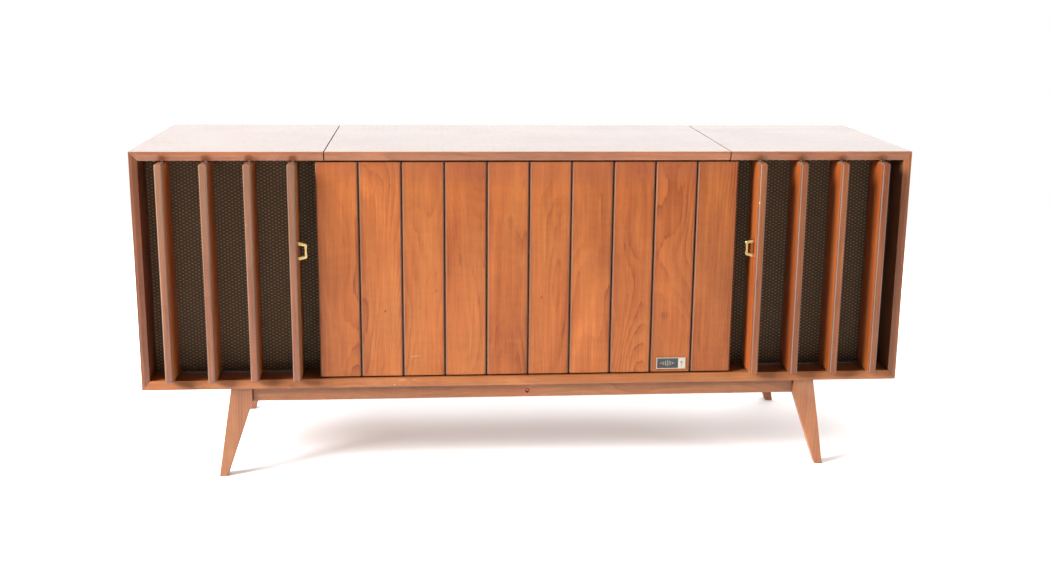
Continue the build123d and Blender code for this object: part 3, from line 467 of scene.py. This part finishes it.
finishes = {
    "slats": wood("slat_walnut", "z", slat_light, slat_dark, 3.0, (slat_low.x - slat_gap / 2, slat_pitch),
                  10173.0, edge_darkening=0.25, arris=(0.150, 0.078, 0.048), marks=slat_marks,
                  lacquer=0.22, rings=0.6, streaks=0.55, blotches=0.58),
    # The side boards' faces are darker than their front edges: painted shade for the insides of the niches,
    # which the outer faces share. The right board's edge is redder than the left's: painted light on the
    # right.
    "left_side": wood("left_side_walnut", "z", *edge_pair(0.92, 0.82, 0.72), seed=5.0,
                      faces=edge_pair(0.70, 0.76, 0.86)),
    "right_side": wood("right_side_walnut", "z", *edge_pair(1.04, 0.85, 0.62), seed=6.0,
                       faces=edge_pair(0.62, 0.68, 0.76)),
    "case_level": wood("top_walnut", "x", *edge_pair(1.20, 1.10, 1.02), seed=7.0, centre=(0.6, -0.3),
                       # level: painted shade that darkens the top's upward faces.
                       streaks=0.85, level=(0.31, 0.33, 0.36), lacquer=0.45,
                       # faces: a greyer, darker pair on the panels' sideways ends, painted shade in the seams
                       # beside the lid.
                       faces=((0.20, 0.10, 0.075), (0.14, 0.07, 0.05)), marks=lip_marks),
    "case_floor": wood("floor_walnut", "x", *edge_pair(1.19, 1.05, 0.81), seed=9.0, centre=(0.25, -0.3),
                       marks=rail_marks),
    # The legs are one walnut in two tints: the right pair is made lighter, painted light on the right-hand
    # legs.
    "left_legs": wood("left_leg_walnut", "z", *edge_pair(1.12, 1.12, 1.10), seed=11.0, rings=0.6,
                      streaks=0.35, wear=0.2, wear_colour=rubbed_legs),
    "right_legs_painted_light": wood("right_leg_walnut_painted_light", "z", *edge_pair(1.26, 1.22, 1.14), seed=12.0, rings=0.6,
                       streaks=0.35, wear=0.2, wear_colour=rubbed_legs),
    "apron": wood("apron_walnut", "x", *edge_pair(1.12, 1.03, 0.88), seed=13.0, centre=(0.17, -0.18),
                  marks=apron_marks),
    "carcass": wood("carcass_wood", "x", (0.34, 0.20, 0.12), (0.20, 0.11, 0.07), 17.0, lacquer=0.0,
                    gloss=0.6),
    "hardboard": pressed_board("brown_hardboard", (0.17, 0.10, 0.058), (0.09, 0.052, 0.032)),
    "weave": grille_weave(),
    "brass": metal("lacquered_brass", (0.54, 0.39, 0.165), 0.25, tint=(0.75, 0.62, 0.45)),
    "steel": metal("plated_steel", (0.62, 0.61, 0.58), 0.34),
    "chrome": metal("bright_chrome", (0.80, 0.80, 0.80), 0.12, tarnish=0.1),
    "silver": metal("satin_silver", (0.46, 0.44, 0.40), 0.42, tarnish=0.15),
    "charcoal": moulded("charcoal_enamel", (0.018, 0.017, 0.0165), 0.5),
    "ivory": moulded("ivory_enamel", (0.34, 0.31, 0.255), 0.55, (0.31, 0.28, 0.23)),
    "brown_ink": moulded("brown_ink", (0.20, 0.10, 0.06), 0.6),
    "jewel": red_glass(),
    "paper": pressed_board("cone_paper", (0.06, 0.055, 0.05), (0.025, 0.022, 0.02), 420.0),
    "grey_enamel": moulded("grey_enamel", (0.11, 0.11, 0.115), 0.45),
    "changer_enamel": moulded("changer_enamel", (0.40, 0.36, 0.31), 0.33),
    "platter_enamel": moulded("platter_enamel", (0.28, 0.25, 0.22), 0.3),
    "cream": moulded("cream_plastic", (0.80, 0.75, 0.63), 0.28),
    "gold_cap": metal("turned_gold", (0.80, 0.66, 0.42), 0.22, (700.0, 700.0, 60.0)),
    "gold_panel": metal("brushed_gold", (0.78, 0.68, 0.48), 0.36, (12.0, 900.0, 900.0), metallic=0.5),
    "knob": moulded("brown_plastic", (0.075, 0.05, 0.035), 0.24),
    "rubber": moulded("black_rubber", (0.022, 0.021, 0.021), 0.62, grain=0.0001),
    "red_enamel": moulded("red_enamel", (0.75, 0.07, 0.03), 0.3),
    "laminate": pressed_board("brown_laminate", (0.20, 0.11, 0.06), (0.12, 0.06, 0.035), 500.0, 0.5),
    "dial_face": moulded("dial_face", (0.030, 0.032, 0.036), 0.35),
    "dial_ink": moulded("dial_ink", (0.86, 0.80, 0.62), 0.5),
    "clear": clear_plastic(),
}


def paint(names, finish):
    for name in names:
        obj = nodes[name]
        obj.data.materials.clear()
        obj.data.materials.append(finishes[finish])


for index, name in enumerate(louvers):
    low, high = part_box(name)
    middle = (low + high) / 2
    # The right louvers get a redder tint on their edges, and their wide faces are darkened: painted shade, as
    # those faces are seen in shade between the louvers.
    tint = (0.99, 0.93, 0.97) if index < 4 else (1.0, 0.80, 0.57)
    face = (1.0, 1.0, 1.0) if index < 4 else (0.93, 0.80, 0.74)
    louver_marks = []
    if name == "right_louver_1":
        nick_z = low.z + 0.82 * (high.z - low.z)
        louver_marks.append((low.x + 0.0012, nick_z, 0.0013, 0.0022, 0.0, pale_chip, 0.42))
    if name == "left_louver_3":
        nick_z = low.z + 0.73 * (high.z - low.z)
        louver_marks.append((low.x + 0.0035, nick_z, 0.0012, 0.0016, 0.0, pale_chip, 0.7))
    # The left louvers' fronts get a greyer, darker tone over their upper part, darkest on the fourth louver.
    if index < 4:
        grey = scaled(grey_wood, *((0.67, 0.67, 0.67) if index == 3 else (1.0, 1.0, 1.0)))
        louver_marks.append((middle.x, high.z, 0.05, 0.25, 0.0, grey, 0.55))
    finishes[name] = wood(f"{name}_walnut", "z", *edge_pair(*tint), seed=20.0 + index,
                          centre=(middle.x, middle.y),
                          faces=(scaled(slat_light, *face), scaled(slat_dark, *face)),
                          rings=0.12, streaks=1.0, blotches=0.35, marks=louver_marks, arris=louver_arris,
                          glue_line=((high.y - low.y) / 2 - 0.0014, 0.0019))
    paint([name], name)
paint(["front_slats"], "slats")
paint(["case_left_side"], "left_side")
paint(["case_right_side"], "right_side")
paint(["top_left_panel", "top_right_panel", "lid"], "case_level")
paint(["case_bottom"], "case_floor")
paint(["front_left_leg", "back_left_leg"], "left_legs")
paint(["front_right_leg", "back_right_leg"], "right_legs_painted_light")
paint(["front_apron", "hidden_aprons"], "apron")
paint(["partitions", "rear_rail", "front_backing_panel", "speaker_baffles", "deck_board"], "carcass")
paint(["back_panel"], "hardboard")
paint(["left_grille_cloth", "right_grille_cloth"], "weave")
paint(["left_pull", "right_pull"], "brass")
paint(["louver_pivot_pins", "left_tie_strip", "right_tie_strip", "back_panel_screws", "spindle",
       "case_hinge_leaf", "lid_hinge_leaf", "lid_quadrant_stay", "receiver_chassis"], "steel")
paint(["badge"], "silver")
paint(["pilot_jewel"], "jewel")
paint(["woofer_cones"], "paper")
paint(["woofer_baskets", "tweeter_horns"], "grey_enamel")
paint(["changer_base"], "changer_enamel")
paint(["platter"], "platter_enamel")
paint(["tonearm", "tonearm_turret", "record_overarm"], "cream")
paint(["control_panel"], "gold_panel")
paint(["volume_knob", "tone_knob", "tuning_knob", "changer_knob", "phono_button", "am_button", "fm_button"],
      "knob")
paint(["dial_pointer"], "red_enamel")
paint(["terminal_panel"], "laminate")


# ---------------------------------------------------------------- softened edges
def soften(names, width, segments=2):
    """Rounds a node's sharp edges a little, as sanding and use do."""
    for name in names:
        obj = nodes[name]
        weld = obj.modifiers.new("weld", "WELD")
        weld.merge_threshold = 1e-5
        bevel = obj.modifiers.new("bevel", "BEVEL")
        bevel.width = width
        bevel.segments = segments
        bevel.limit_method = "ANGLE"
        bevel.angle_limit = math.radians(28)
        bevel.use_clamp_overlap = True
        bevel.harden_normals = True


soften(louvers + ["front_slats"], 0.0005)
soften(["case_left_side", "case_right_side", "case_bottom"], 0.0005)
soften(["top_left_panel", "top_right_panel", "lid"], 0.0005)
soften(["front_left_leg", "front_right_leg", "back_left_leg", "back_right_leg", "front_apron"], 0.0009)
soften(["left_pull", "right_pull"], 0.0011, 3)
soften(["tonearm", "record_overarm"], 0.0012, 3)
soften(["changer_base", "control_panel"], 0.0006)


# ---------------------------------------------------------------- building pieces
def make_piece(name, bm, finish, body, sharp=35.0):
    """A mesh piece that rides on a body of the frame and takes its finish from the table of finishes."""
    bmesh.ops.remove_doubles(bm, verts=bm.verts, dist=1e-7)
    bmesh.ops.recalc_face_normals(bm, faces=bm.faces)
    mesh = bpy.data.meshes.new(name)
    bm.to_mesh(mesh)
    bm.free()
    mesh.materials.append(finishes[finish])
    mesh.shade_smooth()
    mesh.set_sharp_from_angle(angle=math.radians(sharp))
    obj = bpy.data.objects.new(name, mesh)
    bpy.context.scene.collection.objects.link(obj)
    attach(obj, body)
    return obj


def add_block(bm, low, high, bevel=0.0002, segments=2):
    """Block between two corners with rounded edges."""
    made = bmesh.ops.create_cube(bm, size=1.0)["verts"]
    size = [b - a for a, b in zip(low, high)]
    middle = [(a + b) / 2 for a, b in zip(low, high)]
    bmesh.ops.scale(bm, vec=size, verts=made)
    bmesh.ops.translate(bm, vec=middle, verts=made)
    edges = list({edge for vert in made for edge in vert.link_edges})
    bmesh.ops.bevel(bm, geom=edges, offset=min(bevel, 0.3 * min(size)), segments=segments, affect="EDGES")


def add_turned(bm, profile, centre, axis="z", steps=72, closed=False):
    """Outline of (radius, along) points, turned round an axis through centre."""
    rings = []
    for radius, along in profile:
        if radius < 1e-6:
            points = [(0.0, 0.0, along)]
        else:
            turns = [2 * math.pi * step / steps for step in range(steps)]
            points = [(radius * math.cos(turn), radius * math.sin(turn), along) for turn in turns]
        if axis == "y":
            points = [(a, c, -b) for a, b, c in points]
        rings.append([bm.verts.new(Vector(point) + Vector(centre)) for point in points])
    pairs = list(zip(rings, rings[1:]))
    if closed:
        pairs.append((rings[-1], rings[0]))
    for first, second in pairs:
        for step in range(steps):
            following = (step + 1) % steps
            corners = [first[step % len(first)], first[following % len(first)]]
            corners += [second[following % len(second)], second[step % len(second)]]
            corners = list(dict.fromkeys(corners))
            if len(corners) > 2:
                bm.faces.new(corners)


def add_tube(bm, path, radius, steps=12):
    """Round bar along a path of points, with closed ends."""
    points = [Vector(point) for point in path]
    rings = []
    side = None
    for index, point in enumerate(points):
        before = points[max(index - 1, 0)]
        after = points[min(index + 1, len(points) - 1)]
        way = (after - before).normalized()
        if side is None:
            side = way.orthogonal().normalized()
        side = (side - way * side.dot(way)).normalized()
        up = way.cross(side)
        turns = [2 * math.pi * step / steps for step in range(steps)]
        rings.append([bm.verts.new(point + radius * (side * math.cos(t) + up * math.sin(t))) for t in turns])
    for first, second in zip(rings, rings[1:]):
        for step in range(steps):
            following = (step + 1) % steps
            bm.faces.new((first[step], first[following], second[following], second[step]))
    bm.faces.new(rings[0][::-1])
    bm.faces.new(rings[-1])


def add_frame(bm, low, high, border):
    """Upright rectangular ring facing the front, between two corners."""
    rows = []
    for y, inset in ((high.y, 0.0), (low.y, 0.0), (low.y, border), (high.y, border)):
        x0, x1 = low.x + inset, high.x - inset
        z0, z1 = low.z + inset, high.z - inset
        corners = ((x0, y, z0), (x1, y, z0), (x1, y, z1), (x0, y, z1))
        rows.append([bm.verts.new(corner) for corner in corners])
    for first, second in zip(rows, rows[1:] + rows[:1]):
        for step in range(4):
            following = (step + 1) % 4
            bm.faces.new((first[step], first[following], second[following], second[step]))
    bmesh.ops.bevel(bm, geom=list(bm.edges), offset=0.00018, segments=2, affect="EDGES")


# ---------------------------------------------------------------- grille cloth
def grille_sheet(side):
    """Cloth stretched over the baffle: drawn tight at its edges and a little slack between them."""
    low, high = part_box(f"{side}_grille_cloth")
    columns, rows = 86, 110
    gap_to_baffle = 0.00055
    bm = bmesh.new()
    grid = []
    for row in range(rows + 1):
        line = []
        for column in range(columns + 1):
            u, v = column / columns, row / rows
            place = Vector((low.x + u * (high.x - low.x), 0.0, low.z + v * (high.z - low.z)))
            slack = min(1.0, 14 * min(u, 1 - u, v, 1 - v))
            wave = noise.noise(Vector((place.x * 16, place.z * 9, 3.7)))
            weave = noise.noise(Vector((place.x * 160, place.z * 160, 8.1)))
            place.y = high.y - gap_to_baffle - slack * (0.0003 + 0.00024 * wave + 0.00006 * weave)
            line.append(bm.verts.new(place))
        grid.append(line)
    for first, second in zip(grid, grid[1:]):
        for column in range(columns):
            bm.faces.new((first[column], first[column + 1], second[column + 1], second[column]))
    sheet = make_piece(f"{side}_grille_sheet", bm, "weave", "root", 80.0)
    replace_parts(sheet, f"{side}_grille_cloth")


# ---------------------------------------------------------------- badge
def badge_pieces():
    """Plain plate in a thin frame: a dark field with a sound wave of bars, and a pale tab with a spot."""
    low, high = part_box("badge")
    bm = bmesh.new()
    add_frame(bm, low, high, 0.0013)
    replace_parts(make_piece("badge_frame", bm, "silver", "root"), "badge")
    split_x = low.x + 0.75 * (high.x - low.x)
    inset = 0.0012
    bm = bmesh.new()
    add_block(bm, (low.x + inset, low.y + 0.0006, low.z + inset), (split_x, high.y, high.z - inset))
    make_piece("badge_field", bm, "charcoal", "root")
    bm = bmesh.new()
    add_block(bm, (split_x, low.y + 0.0004, low.z + inset), (high.x - inset, high.y, high.z - inset))
    make_piece("badge_tab", bm, "ivory", "root")
    middle_z = (low.z + high.z) / 2
    bars = 9
    bar_pitch = 0.0036
    bar_half_width = 0.0004
    tallest_half = 0.0064
    bar_step = 0.00138
    bm = bmesh.new()
    for bar in range(bars):
        x = (low.x + split_x) / 2 + bar_pitch * (bar - bars // 2)
        half = tallest_half - bar_step * abs(bar - bars // 2)
        corner = (x - bar_half_width, low.y + 0.0003, middle_z - half)
        add_block(bm, corner, (x + bar_half_width, low.y + 0.0007, middle_z + half), 0.0001)
    make_piece("badge_bars", bm, "silver", "root")
    bm = bmesh.new()
    tab_x = (split_x + high.x - inset) / 2
    add_turned(bm, ((0.0, -0.0003), (0.0024, -0.0003), (0.0024, 0.0), (0.0, 0.0)),
               (tab_x, low.y + 0.0005, middle_z + 0.002), "y", 32)
    add_block(bm, (tab_x - 0.0006, low.y + 0.0002, middle_z - 0.007),
              (tab_x + 0.0006, low.y + 0.0005, middle_z - 0.001), 0.0001)
    make_piece("badge_spot", bm, "brown_ink", "root")


# ---------------------------------------------------------------- record changer
def changer_pieces():
    low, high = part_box("platter")
    centre = ((low.x + high.x) / 2, (low.y + high.y) / 2, 0.0)
    profile = [(0.016, high.z), (0.016, high.z + 0.0014)]
    ribs = 24
    first_rib = 0.0185
    rib_pitch = 0.0041
    for rib in range(ribs):
        radius = first_rib + rib * rib_pitch
        profile += [(radius, high.z + 0.0010), (radius + 0.0010, high.z + 0.0018)]
        profile += [(radius + 0.0024, high.z + 0.0018), (radius + 0.0034, high.z + 0.0010)]
    profile += [(0.1185, high.z + 0.0016), (0.1192, high.z)]
    bm = bmesh.new()
    add_turned(bm, profile, centre, steps=120, closed=True)
    make_piece("platter_mat", bm, "rubber", "platter", 20.0)
    bm = bmesh.new()
    trim = ((0.1215, high.z), (0.1222, high.z + 0.0008), (0.1255, high.z + 0.0008), (0.1262, high.z))
    add_turned(bm, trim, centre, steps=120, closed=True)
    make_piece("platter_trim", bm, "chrome", "platter")

    low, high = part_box("changer_base")
    top = 0.562
    inset = 0.016
    screw_places = [(low.x + inset, high.y - inset), (high.x - inset, high.y - inset)]
    screw_places.append((high.x - inset, low.y + inset))
    bm = bmesh.new()
    for x, y in screw_places:
        head = [(0.0, top + 0.0018), (0.0045, top + 0.0015), (0.0062, top + 0.0006)]
        head += [(0.0064, top), (0.0, top)]
        add_turned(bm, head, (x, y, 0.0), steps=32)
    make_piece("changer_transit_screws", bm, "chrome", "root")
    bm = bmesh.new()
    for x, y in screw_places:
        add_block(bm, (x - 0.0045, y - 0.0005, top + 0.0012), (x + 0.0045, y + 0.0005, top + 0.0021), 0.0001)
    make_piece("changer_screw_slots", bm, "charcoal", "root")

    low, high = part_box("tonearm")
    middle = (low.x + high.x) / 2
    bm = bmesh.new()
    add_block(bm, (middle - 0.0045, low.y + 0.006, 0.5848), (middle + 0.0045, low.y + 0.028, 0.5905), 0.0008)
    make_piece("pickup_cartridge", bm, "charcoal", "tonearm")
    bm = bmesh.new()
    shell_z = 0.5965
    path = [(middle + 0.0065, low.y + 0.020, shell_z), (middle + 0.0110, low.y + 0.018, shell_z)]
    path.append((middle + 0.0150, low.y + 0.015, shell_z + 0.0006))
    path.append((middle + 0.0185, low.y + 0.013, shell_z + 0.0030))
    add_tube(bm, path, 0.0010)
    make_piece("finger_lift", bm, "chrome", "tonearm")
    bm = bmesh.new()
    for y in (high.y - 0.020, high.y - 0.008):
        band = ((0.0108, -0.0012), (0.01125, -0.0009), (0.01125, 0.0009), (0.0108, 0.0012))
        add_turned(bm, band, (middle, y, 0.599), "y", 48, closed=True)
    make_piece("counterweight_bands", bm, "chrome", "tonearm")


# ---------------------------------------------------------------- controls
def knob_trim(name, body, cap_radius):
    """Gold cap, index line and fluted skirt of a knob."""
    low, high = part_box(name)
    x, y = (low.x + high.x) / 2, (low.y + high.y) / 2
    radius = (high.x - low.x) / 2
    bm = bmesh.new()
    cap = [(0.0, high.z), (cap_radius, high.z), (cap_radius, high.z + 0.0005)]
    cap += [(cap_radius - 0.0006, high.z + 0.0011), (cap_radius - 0.0016, high.z + 0.0007)]
    cap.append((0.0, high.z + 0.0007))
    add_turned(bm, cap, (x, y, 0.0), steps=64)
    make_piece(f"{name}_cap", bm, "gold_cap", body)
    bm = bmesh.new()
    reach = cap_radius - 0.0022
    add_block(bm, (x - 0.0006, y + 0.3 * reach, high.z + 0.0006),
              (x + 0.0006, y + reach, high.z + 0.0011), 0.0001)
    make_piece(f"{name}_index", bm, "ivory", body)
    bm = bmesh.new()
    flutes = 40
    for flute in range(flutes):
        turn = 2 * math.pi * flute / flutes
        rib = (x + (radius - 0.0003) * math.cos(turn), y + (radius - 0.0003) * math.sin(turn))
        add_tube(bm, [(*rib, 0.5602), (*rib, high.z - 0.0022)], 0.0007, 8)
    make_piece(f"{name}_flutes", bm, "knob", body)


def add_number(bm, text, place, size):
    """A number lying on the dial."""
    curve = bpy.data.curves.new(f"number_{text}", "FONT")
    curve.body = text
    curve.size = size
    curve.extrude = 0.00008
    curve.align_x = "CENTER"
    curve.align_y = "CENTER"
    writing = bpy.data.objects.new(f"number_{text}", curve)
    mesh = bpy.data.meshes.new_from_object(writing)
    mesh.transform(Matrix.Translation(place))
    bm.from_mesh(mesh)
    bpy.data.objects.remove(writing)
    bpy.data.curves.remove(curve)
    bpy.data.meshes.remove(mesh)


def dial_pieces():
    """Scale with two rows of ticks and numbers under a clear window."""
    panel_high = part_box("control_panel")[1]
    pointer_low, pointer_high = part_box("dial_pointer")
    middle_x = (pointer_low.x + pointer_high.x) / 2
    middle_y = (pointer_low.y + pointer_high.y) / 2
    half = 0.153
    floor = pointer_high.z - 0.0025
    bm = bmesh.new()
    for side in (-1, 1):
        edges = sorted((middle_y + side * 0.0024, middle_y + side * 0.0260))
        add_block(bm, (middle_x - half, edges[0], floor), (middle_x + half, edges[1], floor + 0.0003), 0.0001)
    make_piece("dial_scale", bm, "dial_face", "root")
    face = floor + 0.0003
    travel = 0.138
    bm = bmesh.new()
    for side, count in ((-1, 53), (1, 41)):
        for tick in range(count):
            x = middle_x - travel + tick * 2 * travel / (count - 1)
            length = 0.0060 if tick % 4 == 0 else 0.0032
            edges = sorted((middle_y + side * 0.0040, middle_y + side * (0.0040 + length)))
            add_block(bm, (x - 0.0003, edges[0], face), (x + 0.0003, edges[1], face + 0.00015), 0.00004, 1)
    upper_row = ("88", "92", "96", "100", "104", "108")
    lower_row = ("55", "60", "70", "80", "100", "120", "140", "160")
    for side, numbers in ((1, upper_row), (-1, lower_row)):
        for index, text in enumerate(numbers):
            x = middle_x - travel + index * 2 * travel / (len(numbers) - 1)
            add_number(bm, text, (x, middle_y + side * 0.0175, face + 0.0001), 0.0085)
    make_piece("dial_marks", bm, "dial_ink", "root")
    bm = bmesh.new()
    add_block(bm, (middle_x - 0.1546, middle_y - 0.0266, panel_high.z - 0.0017),
              (middle_x + 0.1546, middle_y + 0.0266, panel_high.z - 0.0005), 0.0002)
    make_piece("dial_window", bm, "clear", "root")


def add_dot(bm, place, radius):
    """Thin printed dot lying on the control panel."""
    thickness = 0.00015
    x, y, low = place
    high = low + thickness
    outline = ((0.0, high), (radius, high), (radius, low), (0.0, low))
    add_turned(bm, outline, (x, y, 0.0), steps=16)


def panel_marks():
    """Rings of dots round two knobs, and one, two or three dots behind the push buttons."""
    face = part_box("control_panel")[1].z
    bm = bmesh.new()
    for name, dots in (("volume_knob", 11), ("tone_knob", 11)):
        low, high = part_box(name)
        for dot in range(dots):
            turn = math.radians(240 - 300 * dot / (dots - 1))
            reach = (high.x - low.x) / 2 + 0.0055
            x = (low.x + high.x) / 2 + reach * math.cos(turn)
            y = (low.y + high.y) / 2 + reach * math.sin(turn)
            size = 0.0007 + 0.0005 * dot / (dots - 1)
            add_dot(bm, (x, y, face), size)
    for count, name in enumerate(("phono_button", "am_button", "fm_button")):
        low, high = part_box(name)
        for spot_number in range(count + 1):
            x = (low.x + high.x) / 2 + 0.0035 * (spot_number - count / 2)
            y = high.y + 0.006
            add_dot(bm, (x, y, face), 0.001)
    make_piece("panel_marks", bm, "brown_ink", "root")


for side in ("left", "right"):
    grille_sheet(side)
badge_pieces()
changer_pieces()
knob_trim("volume_knob", "volume_knob", 0.0118)
knob_trim("tone_knob", "tone_knob", 0.0118)
knob_trim("tuning_knob", "tuning_knob", 0.0158)
dial_pieces()
panel_marks()


# ---------------------------------------------------------------- studio
def area_light(name, place, target, size, watts, colour=(1.0, 1.0, 1.0)):
    data = bpy.data.lights.new(name, "AREA")
    data.shape = "RECTANGLE"
    data.size, data.size_y = size
    data.energy = watts
    data.color = colour
    lamp = bpy.data.objects.new(name, data)
    lamp.location = place
    lamp.rotation_mode = "QUATERNION"
    lamp.rotation_quaternion = (Vector(target) - Vector(place)).to_track_quat("-Z", "Y")
    lamp.visible_camera = False
    bpy.context.scene.collection.objects.link(lamp)
    return lamp


def studio_light():
    """World that is bright behind the object and over the floor, and dim on the camera's side."""
    world = bpy.data.worlds.new("studio")
    bpy.context.scene.world = world
    world.use_nodes = True
    tree = world.node_tree
    sky = tree.nodes["Background"]
    sky.inputs["Color"].default_value = (1.0, 1.0, 1.0, 1.0)

    def spread(value, low, high, to_low, to_high):
        node = tree.nodes.new("ShaderNodeMapRange")
        node.interpolation_type = "SMOOTHSTEP"
        tree.links.new(value, node.inputs[0])
        for socket, number in zip(node.inputs[1:5], (low, high, to_low, to_high)):
            if isinstance(number, bpy.types.NodeSocket):
                tree.links.new(number, socket)
            else:
                socket.default_value = number
        return node.outputs[0]

    direction = tree.nodes.new("ShaderNodeSeparateXYZ")
    tree.links.new(tree.nodes.new("ShaderNodeTexCoord").outputs["Generated"], direction.inputs[0])
    upper = spread(direction.outputs[1], -0.1, 0.8, front_sky, back_sky)
    lower = spread(direction.outputs[1], -0.3, 0.7, front_ground, back_ground)
    light = spread(direction.outputs[2], -0.04, 0.04, lower, upper)
    seen = tree.nodes.new("ShaderNodeLightPath").outputs["Is Camera Ray"]
    tree.links.new(spread(seen, 0.0, 1.0, light, 1.0), sky.inputs["Strength"])


def studio_floor():
    """Pale floor that fades into the white surroundings."""
    mesh = bpy.data.meshes.new("studio_floor")
    corners = [(x * floor_half, y * floor_half, floor_level) for x, y in ((-1, -1), (1, -1), (1, 1), (-1, 1))]
    mesh.from_pydata(corners, [], [(0, 1, 2, 3)])
    floor = bpy.data.objects.new("studio_floor", mesh)
    bpy.context.scene.collection.objects.link(floor)
    g = Graph("pale_floor")
    cloud = g.noise(g.place(), 0.6, 2.0)
    far = g.add("ShaderNodeVectorMath", operation="LENGTH")
    g.feed(far.inputs[0], g.place())
    solid = g.spread(far.outputs["Value"], 0.5 * floor_half, 0.95 * floor_half, 1.0, 0.0, smooth=True)
    g.feed(g.shader.inputs["Alpha"], solid)
    floor.data.materials.append(g.finish(g.mix(cloud, (0.79, 0.79, 0.79), (0.81, 0.81, 0.81)), 0.8))


def studio():
    studio_light()
    studio_floor()
    area_light("key_light", (-4.6, -2.1, 3.1), light_target, (2.3, 2.3), 1130.0)
    area_light("fill_light", (4.4, -1.9, 1.5), light_target, (1.8, 1.4), 190.0)
    area_light("top_light", (0.0, 0.9, 3.2), (0.0, 0.6, 0.0), (5.0, 3.4), 30.0)


def camera():
    """The camera stands in front, a little to the left and well above the top."""
    data = bpy.data.cameras.new("camera")
    data.sensor_width = 36.0
    data.lens = camera_lens
    data.shift_x, data.shift_y = camera_shift
    data.clip_end = 100.0
    eye = bpy.data.objects.new("camera", data)
    turn = Matrix.Rotation(camera_pan, 3, "Z") @ Matrix.Rotation(camera_tilt, 3, "X")
    turn = turn @ Matrix.Rotation(camera_roll, 3, "Y") @ Matrix.Rotation(math.pi / 2, 3, "X")
    eye.matrix_world = Matrix.Translation(camera_place) @ turn.to_4x4()
    bpy.context.scene.collection.objects.link(eye)
    bpy.context.scene.camera = eye


bpy.context.scene.view_settings.view_transform = "Standard"
studio()
camera()
